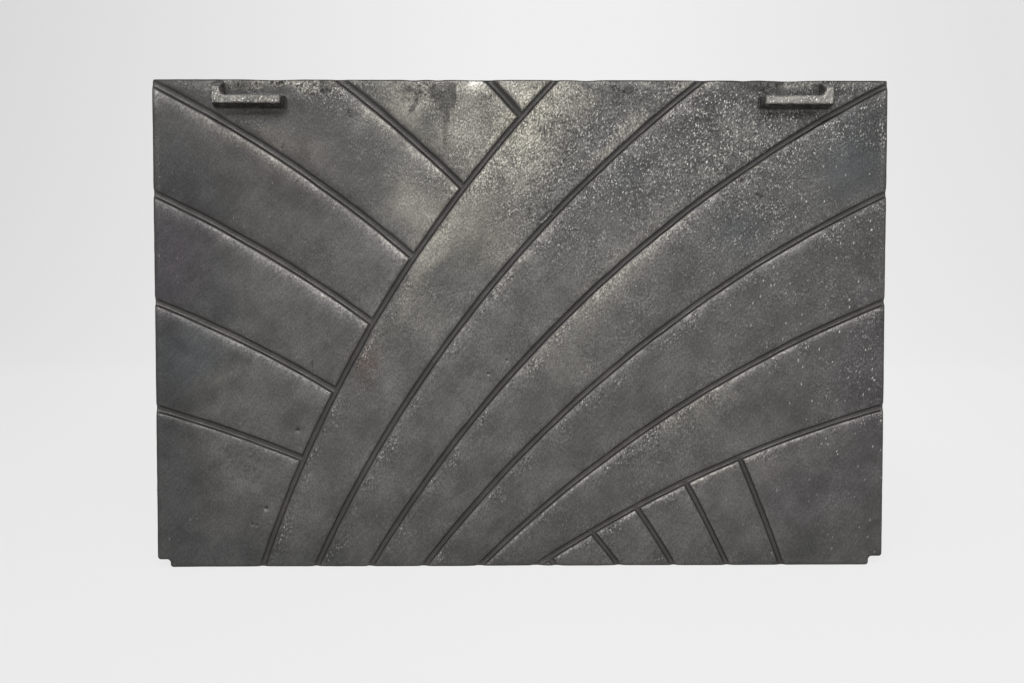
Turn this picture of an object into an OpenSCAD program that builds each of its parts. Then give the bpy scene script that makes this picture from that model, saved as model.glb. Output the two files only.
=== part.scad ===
// Cast-iron stove fireback: a plain-backed plate with arched grooves on its face,
// two L-shaped ledges near the top that carry a baffle, and notched lower corners.
// The origin is the middle of the bottom edge, half way through the plate.
// +X is to the right, +Z is up, and the grooved face looks along -Y.

/* [Plate] */
// Width of the plate from side to side
plate_w = 450; // [420:1:500]
// Height of the plate from its bottom edge to its top edge
plate_h = 300; // [285:1:330]
// Thickness of the plate at its plain panels
plate_t = 8; // [6:0.5:12]
// Rounding of the edges round the face
front_edge_r = 1.2; // [0.5:0.1:1.4]
// Rounding of the edges round the back
back_edge_r = 0.5; // [0.2:0.1:1]
// Rounding of the two upper corners, seen from the front
corner_r = 1.5; // [1.3:0.1:3]

/* [Corner notches] */
// Width of each notch in a lower corner
notch_w = 8; // [6:0.5:14]
// Height of each notch in a lower corner
notch_h = 5.5; // [5:0.5:12]
// Rounding in the hollow corner of a notch
notch_hollow_r = 2.5; // [1.5:0.1:3]
// Rounding of the two corners that stand out beside a notch
notch_shoulder_r = 2; // [1.5:0.1:2.5]

/* [Groove] */
// Width of a groove where it meets the face
groove_w = 4.3; // [3.2:0.1:6]
// Width of a groove along its floor
groove_floor_w = 2.6; // [1.6:0.1:3.2]
// Depth of a groove
groove_depth = 2; // [1.2:0.1:3]
// Width of the soft shoulder on each side of a groove
shoulder_w = 3.5; // [1.5:0.5:5]
// How far the face sinks over that shoulder
shoulder_drop = 0.4; // [0.1:0.1:0.8]

/* [Arc fan] */
// Number of arcs that run out through the top edge
top_arcs = 2; // [2:1:3]
// Number of arcs that run out through the side edge
side_arcs = 4; // [3:1:4]
// Place of the first arc's foot, from the middle of the bottom edge
first_foot = -161.5; // [-175:0.5:-150]
// Distance between the feet of the arcs
foot_pitch = 34; // [30:0.1:36]
// Place of the first arc's head along the top edge, from the middle
first_head = 21; // [10:1:30]
// Distance between the heads along the top edge
top_pitch = 90.4; // [70:0.1:95]
// Drop of the first head on the side edge below the top edge
side_head_drop = 3; // [2:0.1:20]
// Distance between the heads down the side edge
side_pitch = 66.2; // [55:0.1:75]
// Radius of the first arc
first_radius = 810; // [600:5:1200]
// How much smaller each next arc's radius is
radius_step = 10; // [0:1:30]

/* [Baffle lugs] */
// Drop of the baffle seat below the top edge of the plate
seat_drop = 11; // [11:0.5:30]
// Distance from the plate's left side to the left lug
left_lug_inset = 38.4; // [30:0.1:60]
// Distance from the plate's right side to the right lug
right_lug_inset = 36.4; // [30:0.1:60]
// How far a lug stands out from the face
lug_reach = 16; // [10:0.5:30]
// Length of a lug at its tip
lug_len = 42; // [30:1:60]
// Thickness of the ledge at its tip
ledge_t = 5.8; // [4:0.1:9]
// How much thicker the ledge is at its root, for the draft of its underside
under_draft = 1.1; // [0.5:0.1:2]
// How much longer the lug is at its root, for the draft of its inner end
end_draft = 1.1; // [0.5:0.1:2]
// How far the outer side of a lug leans in from root to tip
side_draft = 0.5; // [0.2:0.1:1]
// Width of the end stop that keeps the baffle from sliding off
stop_w = 5.6; // [4:0.1:10]
// Height of the end stop above the seat, at its tip
stop_tip_h = 5.2; // [3:0.1:6]
// Height of the end stop above the seat, where it meets the face
stop_root_h = 9; // [7:0.1:9.4]
// Rounding in the corner between the seat and the end stop
stop_fillet = 2.8; // [1:0.1:4]
// Rounding of a lug's corners, seen from the front
lug_corner_r = 1.6; // [0.5:0.1:2]
// Rounding of the edges round a lug's tip
lug_edge_r = 1.2; // [0.5:0.1:1.5]
// Depth of the round-ended tongue behind a lug, which sits in a pocket of the plate
tongue_depth = 2.5; // [1:0.1:4]
// How far the tongue is set in from the outline of the ledge
tongue_step = 0.8; // [0.5:0.1:1.2]
// Gap round the tongue and behind it, in its pocket
tongue_gap = 0.1; // [0.05:0.05:0.3]

/* [Hidden] */
face_y = -plate_t / 2;
seat_z = plate_h - seat_drop;
ledge_root_t = ledge_t + under_draft;
lug_root_len = lug_len + end_draft;
under_angle = atan(under_draft / lug_reach);
end_angle = atan(end_draft / lug_reach);
side_angle = atan(side_draft / lug_reach);
stop_angle = atan((stop_root_h - stop_tip_h) / lug_reach);
// How far a cutter runs past the surface that it opens
overrun = 1;
arc_facets = 360;
round_facets = 48;

// Each arc of the fan rises from a foot on the bottom edge to a head on the top or side edge.
top_heads = [for (i = [0 : top_arcs - 1]) [first_head + i * top_pitch, plate_h]];
side_heads = [for (i = [0 : side_arcs - 1]) [plate_w / 2, plate_h - side_head_drop - i * side_pitch]];
arc_heads = concat(top_heads, side_heads);
arc_last = len(arc_heads) - 1;
arc_feet = [for (i = [0 : arc_last]) [first_foot + i * foot_pitch, 0]];
arc_radii = [for (i = [0 : arc_last]) first_radius - i * radius_step];

// Centre of the circle of radius r through a foot and a head, on its lower right side
function arc_centre(foot, head, r) =
    let (
        chord = head - foot,
        half = norm(chord) / 2,
        across = [chord[1], -chord[0]] / norm(chord)
    )
    (foot + head) / 2 + across * sqrt(r * r - half * half);

// Direction from one point to another, in degrees
function bearing(from, to) = atan2(to[1] - from[1], to[0] - from[0]);

arc_centres = [for (i = [0 : arc_last]) arc_centre(arc_feet[i], arc_heads[i], arc_radii[i])];
// How far a groove's cutter runs on past the edges of the plate
run_out = 20;

// The waste outside a rounded corner at the origin, whose sides run along +x and at the given angle
module corner_waste(r, angle = 90) {
    reach = r / tan(angle / 2);
    difference() {
        polygon([
            [reach, -overrun],
            [reach, r],
            [reach * cos(angle) - overrun * sin(angle), reach * sin(angle) + overrun * cos(angle)],
            [-overrun / tan(angle / 2), -overrun]
        ]);
        translate([reach, r]) circle(r = r, $fn = round_facets);
    }
}

// An outline drawn in x and z, as a slab from y1 back to y2
module upright(y1, y2) {
    translate([0, y2, 0]) rotate([90, 0, 0]) linear_extrude(y2 - y1) children();
}

// What the right side has, the left side has too
module both_sides() {
    children();
    mirror([1, 0, 0]) children();
}

// A notch seen from the front, with the plate's lower right corner at the origin
module notch_outline() {
    difference() {
        translate([-notch_w, -overrun]) square([notch_w + overrun, notch_h + overrun]);
        translate([-notch_w, notch_h]) mirror([0, 1]) corner_waste(notch_hollow_r);
    }
    translate([0, notch_h]) mirror([1, 0]) corner_waste(notch_shoulder_r);
    translate([-notch_w, 0]) mirror([1, 0]) corner_waste(notch_shoulder_r);
}

// The plate seen from the front
module plate_outline() {
    difference() {
        translate([-plate_w / 2, 0]) square([plate_w, plate_h]);
        both_sides() {
            translate([plate_w / 2, 0]) notch_outline();
            translate([plate_w / 2, plate_h]) rotate(180) corner_waste(corner_r);
        }
    }
}

// Rounds a straight edge of the face: it runs along +X from the origin, with the plate above it
module straight_rim(length, r) {
    rotate([90, 0, 90]) linear_extrude(length) corner_waste(r);
}

// Rounds the face's edge along a corner that stands out with radius r, in the quarter of +X and -Z
module outer_rim(r) {
    rotate([-90, 0, 0]) rotate_extrude(angle = 90, $fn = round_facets)
        translate([r, 0]) mirror([1, 0]) corner_waste(front_edge_r);
}

// Rounds the face's edge along a hollow corner of radius r, in the quarter of -X and +Z
module hollow_rim(r) {
    rotate([-90, 0, 0]) rotate_extrude(angle = 90, start = 180, $fn = round_facets)
        translate([r, 0]) corner_waste(front_edge_r);
}

// Rounds the face's edge all the way round the right half of the plate
module face_rim() {
    corner_x = plate_w / 2;
    translate([-overrun, 0, 0])
        straight_rim(corner_x - notch_w - notch_shoulder_r + overrun, front_edge_r);
    translate([corner_x - notch_w - notch_shoulder_r, 0, notch_shoulder_r]) outer_rim(notch_shoulder_r);
    translate([corner_x - notch_w, 0, notch_shoulder_r])
        rotate([0, -90, 0]) straight_rim(notch_h - notch_shoulder_r - notch_hollow_r, front_edge_r);
    translate([corner_x - notch_w + notch_hollow_r, 0, notch_h - notch_hollow_r])
        hollow_rim(notch_hollow_r);
    translate([corner_x - notch_w + notch_hollow_r, 0, notch_h])
        straight_rim(notch_w - notch_hollow_r - notch_shoulder_r, front_edge_r);
    translate([corner_x - notch_shoulder_r, 0, notch_h + notch_shoulder_r]) outer_rim(notch_shoulder_r);
    translate([corner_x, 0, notch_h + notch_shoulder_r])
        rotate([0, -90, 0]) straight_rim(plate_h - corner_r - notch_h - notch_shoulder_r, front_edge_r);
    translate([corner_x - corner_r, 0, plate_h - corner_r]) mirror([0, 0, 1]) outer_rim(corner_r);
    translate([-overrun, 0, plate_h])
        mirror([0, 0, 1]) straight_rim(corner_x - corner_r + overrun, front_edge_r);
}

// Rounds the edges of the back along the top, the bottom and the two sides
module back_rim() {
    past = plate_w / 2 + overrun;
    for (flip = [0, 1]) {
        translate([-past, 0, flip * plate_h])
            mirror([0, 0, flip]) mirror([0, 1, 0]) straight_rim(2 * past, back_edge_r);
        mirror([flip, 0, 0]) translate([plate_w / 2, 0, -overrun])
            rotate([0, -90, 0]) mirror([0, 1, 0]) straight_rim(plate_h + 2 * overrun, back_edge_r);
    }
}

// The plate before its face is grooved
module plate_blank() {
    difference() {
        upright(face_y, -face_y) plate_outline();
        translate([0, face_y, 0]) both_sides() face_rim();
        translate([0, -face_y, 0]) back_rim();
    }
}

// A groove cut across: steep walls, a flat floor and soft shoulders, with the face at y = 0
module groove_section() {
    brim = groove_w / 2 + shoulder_w;
    polygon([
        [-groove_floor_w / 2, -groove_depth],
        [groove_floor_w / 2, -groove_depth],
        [groove_w / 2, -shoulder_drop],
        [brim, 0],
        [brim, overrun],
        [-brim, overrun],
        [-brim, 0],
        [-groove_w / 2, -shoulder_drop]
    ]);
}

// The cutter for one arc of the fan
module arc_groove(i) {
    past = run_out / arc_radii[i] * 180 / PI;
    from = bearing(arc_centres[i], arc_heads[i]) - past;
    to = bearing(arc_centres[i], arc_feet[i]) + past;
    translate([arc_centres[i][0], face_y, arc_centres[i][1]])
        rotate([90, 0, 0]) rotate_extrude(angle = to - from, start = from, $fn = arc_facets)
            translate([arc_radii[i], 0]) groove_section();
}

// Everything on the hollow side of one arc, as deep as a groove
module arc_disc(i, margin) {
    translate([arc_centres[i][0], face_y + groove_depth + margin, arc_centres[i][1]])
        rotate([90, 0, 0])
            cylinder(r = arc_radii[i], h = groove_depth + 2 * overrun + 2 * margin, $fn = arc_facets);
}

// The strip between the first and the last arc, where the mirrored fan doesn't show
module fan_strip() {
    difference() {
        arc_disc(0, overrun);
        arc_disc(arc_last, 2 * overrun);
    }
}

// The grooves of the fan, and of the mirrored fan that shows on both sides of it
module face_grooves() {
    for (i = [0 : arc_last]) arc_groove(i);
    difference() {
        for (i = [0 : arc_last]) mirror([1, 0, 0]) arc_groove(i);
        fan_strip();
    }
}

// A lug seen from the front, at its root: x runs inward from its outer side, and the seat is at y = 0
module lug_outline() {
    difference() {
        translate([0, -ledge_root_t]) square([lug_root_len, ledge_root_t]);
        translate([0, -ledge_root_t]) corner_waste(lug_corner_r);
        translate([lug_root_len, -ledge_root_t]) mirror([1, 0]) corner_waste(lug_corner_r);
        translate([lug_root_len, 0]) rotate(180) corner_waste(lug_corner_r);
    }
    difference() {
        translate([0, -overrun]) square([stop_w, stop_root_h + overrun]);
        translate([0, stop_root_h]) mirror([0, 1]) corner_waste(lug_corner_r);
        translate([stop_w, stop_root_h]) rotate(180) corner_waste(lug_corner_r);
    }
    translate([stop_w, 0]) corner_waste(stop_fillet);
}

// A lug seen from its end: x is the distance out from the face, and the seat is at y = 0
module lug_side_section() {
    difference() {
        polygon([
            [-overrun, -ledge_root_t],
            [0, -ledge_root_t],
            [lug_reach, -ledge_t],
            [lug_reach, stop_tip_h],
            [0, stop_root_h],
            [-overrun, stop_root_h]
        ]);
        translate([lug_reach, -ledge_t]) rotate(90) corner_waste(lug_edge_r, 90 + under_angle);
        translate([lug_reach, stop_tip_h]) mirror([0, 1]) rotate(90)
            corner_waste(lug_edge_r, 90 + stop_angle);
    }
}

// A lug seen from above: x runs inward from its outer side, and y is the distance out from the face
module lug_plan() {
    difference() {
        polygon([
            [0, -overrun],
            [lug_root_len, -overrun],
            [lug_root_len, 0],
            [lug_len, lug_reach],
            [side_draft, lug_reach],
            [0, 0]
        ]);
        translate([lug_len, lug_reach]) rotate(180) corner_waste(lug_edge_r, 90 + end_angle);
        translate([side_draft, lug_reach]) mirror([1, 0]) rotate(180)
            corner_waste(lug_edge_r, 90 + side_angle);
    }
}

// The tongue behind a lug's ledge seen from the front, grown by a gap all round
module tongue_outline(gap) {
    r = ledge_root_t / 2 - tongue_step;
    outer_x = tongue_step + r;
    inner_x = lug_root_len - tongue_step - r;
    translate([outer_x, -ledge_root_t / 2 - r - gap]) square([inner_x - outer_x, 2 * (r + gap)]);
    for (x = [outer_x, inner_x])
        translate([x, -ledge_root_t / 2]) circle(r = r + gap, $fn = round_facets);
}

// One lug in its own frame: x runs inward from its outer side, the seat is at z = 0,
// and the plate's face is at y = 0
module baffle_lug() {
    tall = ledge_root_t + stop_root_h + 2 * overrun;
    difference() {
        intersection() {
            upright(-lug_reach - overrun, 0) lug_outline();
            translate([-overrun, 0, 0]) rotate([90, 0, 90]) linear_extrude(lug_root_len + 2 * overrun)
                mirror([1, 0]) lug_side_section();
            translate([0, 0, -ledge_root_t - overrun]) linear_extrude(tall)
                mirror([0, 1]) lug_plan();
        }
        translate([stop_w + stop_fillet, -lug_reach, 0])
            mirror([0, 0, 1]) straight_rim(lug_root_len, lug_edge_r);
    }
    upright(-overrun, tongue_depth) tongue_outline(0);
}

// The pocket in the face that takes a lug's tongue
module lug_pocket() {
    upright(-overrun, tongue_depth + tongue_gap) tongue_outline(tongue_gap);
}

// Puts a lug, or its pocket, at its place on the left or the right of the face
module at_left_lug() {
    translate([left_lug_inset - plate_w / 2, face_y, seat_z]) children();
}

module at_right_lug() {
    translate([plate_w / 2 - right_lug_inset, face_y, seat_z]) mirror([1, 0, 0]) children();
}

module fireback_plate() {
    color("dimgray") difference() {
        plate_blank();
        face_grooves();
        at_left_lug() lug_pocket();
        at_right_lug() lug_pocket();
    }
}

module left_ledge_lug() {
    color("gray") at_left_lug() baffle_lug();
}

module right_ledge_lug() {
    color("gray") at_right_lug() baffle_lug();
}

fireback_plate();
left_ledge_lug();
right_ledge_lug();
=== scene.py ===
"""The looks of a cast-iron stove fireback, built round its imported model."""

import itertools
import math

import bpy
import numpy as np
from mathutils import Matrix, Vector
from mathutils.geometry import delaunay_2d_cdt


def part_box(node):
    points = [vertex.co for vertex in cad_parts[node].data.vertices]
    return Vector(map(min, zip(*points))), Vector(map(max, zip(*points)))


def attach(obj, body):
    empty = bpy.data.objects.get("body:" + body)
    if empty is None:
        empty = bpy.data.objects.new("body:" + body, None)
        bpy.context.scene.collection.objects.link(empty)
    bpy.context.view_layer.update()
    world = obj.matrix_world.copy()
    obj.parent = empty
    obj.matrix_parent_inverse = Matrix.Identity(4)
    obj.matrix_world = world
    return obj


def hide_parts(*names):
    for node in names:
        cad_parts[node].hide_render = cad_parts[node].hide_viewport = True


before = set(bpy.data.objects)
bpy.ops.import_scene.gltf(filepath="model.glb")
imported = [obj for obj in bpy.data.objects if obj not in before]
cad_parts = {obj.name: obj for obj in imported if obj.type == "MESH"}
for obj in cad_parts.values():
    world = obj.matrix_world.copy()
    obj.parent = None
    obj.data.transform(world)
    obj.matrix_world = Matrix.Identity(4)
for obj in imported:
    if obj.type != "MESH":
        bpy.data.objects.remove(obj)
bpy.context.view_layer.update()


# ---------------------------------------------------------------------------------------------
# The outline of the plate: a flat iron casting with soft corners and a small notch at each foot.
# The sand of the mould left its edges slightly wavy. All sizes are in millimetres, seen from the
# front: x to the right and z up, with z = 0 at the bottom edge.
plate_low, plate_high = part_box("fireback_plate")
half_width = plate_high.x * 1000
plate_height = plate_high.z * 1000
face_y = plate_low.y * 1000
back_y = plate_high.y * 1000
top_corner_r = 1.5
notch_shoulder_r = 2.0
notch_hollow_r = 2.3
left_notch = (7.9, 4.9)  # width, height
right_notch = (8.5, 5.6)


def rounded_loop(corners, straight_step, curve_step):
    """A closed outline through corners (x, z, rounding), anticlockwise as seen from the front."""
    points = []
    for i, (x, z, r) in enumerate(corners):
        here = np.array((x, z), float)
        back = np.array(corners[i - 1][:2]) - here
        ahead = np.array(corners[(i + 1) % len(corners)][:2]) - here
        back /= np.linalg.norm(back)
        ahead /= np.linalg.norm(ahead)
        half_angle = math.acos(back @ ahead) / 2
        middle = (back + ahead) / np.linalg.norm(back + ahead)
        centre = here + middle * r / math.sin(half_angle)
        start = here + back * r / math.tan(half_angle) - centre
        end = here + ahead * r / math.tan(half_angle) - centre
        first = math.atan2(start[1], start[0])
        sweep = (math.atan2(end[1], end[0]) - first + math.pi) % (2 * math.pi) - math.pi
        steps = max(3, math.ceil(abs(sweep) * r / curve_step))
        for k in range(steps + 1):
            angle = first + sweep * k / steps
            points.append(centre + r * np.array((math.cos(angle), math.sin(angle))))
    loop = []
    for here, ahead in zip(points, points[1:] + points[:1]):
        steps = max(1, round(np.linalg.norm(ahead - here) / straight_step))
        loop += [here + (ahead - here) * k / steps for k in range(steps)]
    return np.array(loop)


def loop_normals(loop):
    """The direction into the outline at each of its points."""
    along = np.roll(loop, -1, axis=0) - np.roll(loop, 1, axis=0)
    along /= np.linalg.norm(along, axis=1)[:, None]
    return np.stack((-along[:, 1], along[:, 0]), axis=1)


def distance_to_loop(points, loop):
    """How far each point is from a closed outline."""
    nearest = np.full(len(points), np.inf)
    for start, end in zip(loop, np.roll(loop, -1, axis=0)):
        along = end - start
        share = np.clip((points - start) @ along / (along @ along), 0, 1)
        gap = points - start - share[:, None] * along
        nearest = np.minimum(nearest, np.einsum("ij,ij->i", gap, gap))
    return np.sqrt(nearest)


plate_outline = rounded_loop(
    [
        (-half_width + left_notch[0], 0, notch_shoulder_r),
        (half_width - right_notch[0], 0, notch_shoulder_r),
        (half_width - right_notch[0], right_notch[1], notch_hollow_r),
        (half_width, right_notch[1], notch_shoulder_r),
        (half_width, plate_height, top_corner_r),
        (-half_width, plate_height, top_corner_r),
        (-half_width, left_notch[1], notch_shoulder_r),
        (-half_width + left_notch[0], left_notch[1], notch_hollow_r),
    ],
    straight_step=1.5,
    curve_step=0.35,
)


# ---------------------------------------------------------------------------------------------
# The relief: a fan of six arched grooves, each on a circle of its own, and its mirror image,
# which shows only above the first groove and below the last. A wooden pattern pressed them into
# the sand, so their walls slope, their lips are soft and the panels between them are crowned.
main_fan = (
    # foot on the bottom edge, head on the top or side edge, radius
    (-160.4, (21.1, 300.0), 815.0),
    (-127.0, (111.5, 300.0), 798.0),
    (-93.4, (225.0, 296.9), 773.0),
    (-60.2, (225.0, 230.5), 780.0),
    (-25.4, (225.0, 164.0), 750.0),
    (10.1, (225.0, 98.6), 768.0),
)
mirrored_fan = (
    (-162.1, (20.5, 300.0), 830.0),
    (-128.3, (111.4, 300.0), 797.0),
    (-94.6, (225.0, 297.3), 779.0),
    (-60.6, (225.0, 230.4), 761.0),
    (-21.4, (225.0, 164.1), 704.0),
    (7.3, (225.0, 98.3), 797.0),
)
all_arcs = [(arc, 1) for arc in main_fan] + [(arc, -1) for arc in mirrored_fan]

# How each groove has been rubbed and lit, at three heights above the bottom edge: how much
# brighter its lower lip is than the panel, as rubbed iron and a painted highlight, how many mm down
# that reaches, and how dark its floor has stayed, from soot and painted shade
rubbed_heights = (50, 142, 240)
rubbing = (
    # main fan
    ((-0.05, -0.05, 0.3), (5, 5, 8), (1, 1.15, 1.2)),
    ((-0.15, 0.45, 1.0), (5, 6, 4), (1, 0.75, 1.25)),
    ((0, 0.8, 0.6), (4, 4, 6), (0.9, 1.2, 1.35)),
    ((0.3, 0.6, 0.8), (0.9, 3.4, 1.6), (1, 0.45, 1.0)),
    ((1.2, 1.2, 0.9), (0.65, 1.2, 1.4), (0.65, 0.65, 0.8)),
    ((1.4, 1.0, 0.9), (0.55, 0.9, 1.1), (0.6, 0.6, 0.8)),
    # mirrored fan
    ((0, 0, 0.5), (4, 4, 5), (1, 1, 1.7)),
    ((0, 0.5, 0.9), (3, 3, 3), (1, 1, 0.95)),
    ((0, 0.85, 0.95), (3, 3, 3), (1, 0.6, 0.7)),
    ((0, 1.1, 1.25), (2.4, 2.4, 2.4), (1.1, 0.6, 0.65)),
    ((0, 1.0, 1.0), (2, 2, 2), (1, 0.5, 0.5)),
    ((0.3, 0.35, 0.3), (1, 1, 1), (0.95, 0.95, 0.95)),
)

# A groove's section from its middle outwards. Its upper wall is a little steeper than its lower one,
# and the mirrored grooves were cut wider in the upper left and narrower in the lower right
groove_half_widths = np.array((0, 0.8, 1.2, 1.55, 1.9, 2.25, 2.9, 3.8, 5.2, 7.0))
groove_depths = np.array((2.0, 1.98, 1.85, 1.3, 0.75, 0.45, 0.27, 0.14, 0.05, 0.0))
groove_mouth = 2.15
upper_steepness = 1.14
lower_steepness = 0.98
upper_left_width = 1.18
top_edge_width = 1.3
lower_right_width = 0.92

# The soot and painted shade across a groove, from below its lower lip to above its upper one,
# and where the lips start
soot_and_shade_places = np.array((-3.1, -2.4, -1.95, -1.3, -0.9, 0.9, 1.3, 2.1, 2.8, 4.0, 6.0))
soot_and_shade_shares = np.array((0.0, 0.4, 0.52, 0.54, 0.52, 0.50, 0.38, 0.15, 0.05, 0.0, 0.0))
lower_lip = 3.0
upper_lip = 2.6
relief_lift = 0.65  # how much higher than its drawn feet and heads the pattern was pressed in
crown_drop = 0.15
crown_reach = 6.0


def arc_circle(foot_x, head, radius):
    """Centre of the circle through a groove's foot and head, on its lower right side."""
    foot = np.array((foot_x, 0.0))
    chord = np.array(head) - foot
    half = np.linalg.norm(chord) / 2
    across = np.array((chord[1], -chord[0])) / (2 * half)
    return foot + chord / 2 + across * math.sqrt(radius**2 - half**2) + (0, relief_lift)


def across_arc(points, arc, side):
    """How far each point lies outside an arc, or outside its mirror image where side is -1."""
    centre = arc_circle(*arc)
    return np.hypot(points[:, 0] * side - centre[0], points[:, 1] - centre[1]) - arc[2]


def mirror_shows(points):
    """True above the first groove and below the last, where the mirrored fan shows."""
    return (across_arc(points, main_fan[0], 1) > 0) | (across_arc(points, main_fan[-1], 1) < 0)


def groove_width(points, side):
    """The mirrored grooves are wider in the upper left and narrower in the lower right."""
    if side == 1:
        return np.ones(len(points))
    wide = np.where(points[:, 1] > plate_height - 20, top_edge_width, upper_left_width)
    return np.where(points[:, 0] < 0, wide, lower_right_width)


def value_noise(points, size, seed):
    """Smooth random hills from -1 to 1, about one size apart."""
    cells = np.asarray(points, float) / size
    base = np.floor(cells).astype(np.int64)
    part = cells - base
    part = part**3 * (part * (part * 6 - 15) + 10)
    total = np.zeros(len(cells))
    for corner in itertools.product((0, 1), repeat=cells.shape[1]):
        spot = base + np.array(corner)
        key = np.full(len(cells), seed * 7919 + 13, np.int64)
        for axis, prime in zip(range(cells.shape[1]), (73856093, 19349663, 83492791)):
            key = (key ^ (spot[:, axis] * prime)) * 1664525 + 1013904223
        key = (key ^ (key >> 15)) * 2246822519
        key = (key ^ (key >> 13)) & 0xFFFFFF
        weight = np.prod(np.where(corner, part, 1 - part), axis=1)
        total += weight * (key / 0x7FFFFF - 1)
    return total


def groove_soot_and_shade(across, place, black):
    """How dark a groove is, from its black and from painted shade; black is how dark its floor stays."""
    frayed = across + 0.22 * value_noise(place, 3.5, 6) + 0.2 * value_noise(place, 8, 9)
    floor = black * (1 + 0.15 * value_noise(place, 16, 7))
    return np.interp(frayed, soot_and_shade_places, soot_and_shade_shares) * np.where(np.abs(across) < 1.1, floor, 1)


def lower_lip_shine(across, place, shine, reach):
    """The lower lip's rubbed shine and painted highlight; the shine fades out within its reach."""
    below = np.maximum(-across - lower_lip, 0)
    glow = shine * np.exp(-below / reach) * np.exp(-((np.maximum(across + lower_lip, 0) / 0.5) ** 2))
    patchy = 1 + 0.5 * value_noise(place, 11, 3) + 0.35 * value_noise(place, 27, 5)
    return glow * np.clip(patchy, 0.15, 1.8)


def upper_lip_shine(across, place, shine, reach):
    """The upper lip's rubbed shine and painted highlight."""
    above = np.maximum(across - upper_lip, 0)
    glow = np.exp(-((np.minimum(across - upper_lip, 0) / 0.5) ** 2)) * (shine * np.exp(-above / reach))
    return glow * np.clip(1 + 0.6 * value_noise(place, 9, 10), 0, 2)


def bared_sand(across, place, share):
    """How far rubbing has bared the sand's grain beside a groove, mostly below it."""
    below = np.maximum(-across - lower_lip, 0)
    above = np.maximum(across - upper_lip, 0)
    bared = np.where(across < -2.3, np.exp(-below / 5.5), 0)
    bared = bared + 0.3 * np.where(across > 2.3, np.exp(-above / 3), 0)
    bared *= share * np.clip(0.8 + 0.5 * value_noise(place, 21, 11), 0, 1.3)
    return bared * np.clip(0.75 + 1.1 * value_noise(place, 6, 12), 0, 1.5)


def grooves(points):
    """For each point: the depth of the grooves, their black and painted shade, the shine of their lips,
    rubbed and partly a painted highlight, the bared sand beside them, and how far away the nearest
    one is."""
    depth, soot_and_shade, lip, bared = np.zeros((4, len(points)))
    clear = np.full(len(points), 60.0)
    shows = mirror_shows(points)
    up = points[:, 1]
    left = points[:, 0] < 0
    for number, ((arc, side), rubbed) in enumerate(zip(all_arcs, rubbing)):
        shine, reach, black = (np.interp(up, rubbed_heights, values) for values in rubbed)
        place = points + (number * 300, 0)  # so that no two grooves wander alike
        across = across_arc(points, arc, side) + 0.14 * value_noise(place, 19, 1)
        across /= groove_width(points, side) * (1 + 0.07 * value_noise(place, 9, 2))
        aside = np.abs(across)
        steepness = np.where(across > 0, upper_steepness, lower_steepness)
        cut = np.interp(aside * steepness, groove_half_widths, groove_depths)
        dark = groove_soot_and_shade(across, place, black)
        glow = lower_lip_shine(across, place, shine, reach)
        if side == 1:
            seen = np.ones(len(points), bool)
            # on the main fan the upper lip's painted highlight grows towards the top
            crest = upper_lip_shine(across, place, 0.6 * np.clip(up / plate_height, 0, 1) ** 2, 3.5)
            sandy = bared_sand(across, place, 1)
        else:
            seen = shows
            # the upper wall of a mirrored groove at the left is painted darker, as painted shade
            dark = np.where(left & (across > 1.1) & (across < 2.3), np.maximum(dark, 0.5), dark)
            crest = upper_lip_shine(across, place, np.where(left, 0.1, 0.3), 0.6)
            sandy = bared_sand(across, place, 0.35)
        depth = np.where(seen, np.maximum(depth, cut), depth)
        soot_and_shade = np.where(seen, np.maximum(soot_and_shade, dark), soot_and_shade)
        lip = np.where(seen, lip + glow + crest, lip)
        bared = np.where(seen, np.maximum(bared, sandy), bared)
        clear = np.where(seen, np.minimum(clear, np.maximum(aside - groove_mouth, 0)), clear)
    clean = depth < 0.5
    return depth, soot_and_shade, lip * clean, bared * clean, clear


# ---------------------------------------------------------------------------------------------
# The plate's mesh: points along the outline, along both sides of each groove and round the roots
# of the two ledges, a loose net of points between them, then the walls and the plain back.
edge_r = 1.2
back_edge_r = 0.5
lug_fillet_r = 1.6
lug_boxes = {name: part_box(name) for name in ("left_ledge_lug", "right_ledge_lug")}
seat_z = 289.0
stop_w = 5.6
root_corner_r = 1.6
seat_corner_r = 2.8
pin_hole_r = 2.0


def lug_root(name):
    """The outline of a ledge where it grows out of the face."""
    low, high = (corner * 1000 for corner in lug_boxes[name])
    outer, inner = (low.x, high.x) if name.startswith("left") else (high.x, low.x)
    step = stop_w if inner > outer else -stop_w
    corners = [
        (outer, low.z, root_corner_r),
        (inner, low.z, root_corner_r),
        (inner, seat_z, root_corner_r),
        (outer + step, seat_z, seat_corner_r),
        (outer + step, high.z, root_corner_r),
        (outer, high.z, root_corner_r),
    ]
    return rounded_loop(corners if inner > outer else corners[::-1], 1.2, 0.35)


lug_roots = [lug_root(name) for name in lug_boxes]


def edge_rounding(gap, radius):
    """How far a rounded edge has dropped at a distance from the side."""
    inside = np.clip(radius - gap, 0, radius)
    return radius - np.sqrt(radius**2 - inside**2)


def hex_net(low, high, step):
    """Points of a triangular net that fills a rectangle."""
    rows = np.arange(low[1], high[1], step * math.sqrt(0.75))
    columns = np.arange(low[0], high[0], step)
    net = []
    for number, z in enumerate(rows):
        net.append(np.stack((columns + step / 2 * (number % 2), np.full(len(columns), z)), axis=1))
    return np.concatenate(net)


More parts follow.
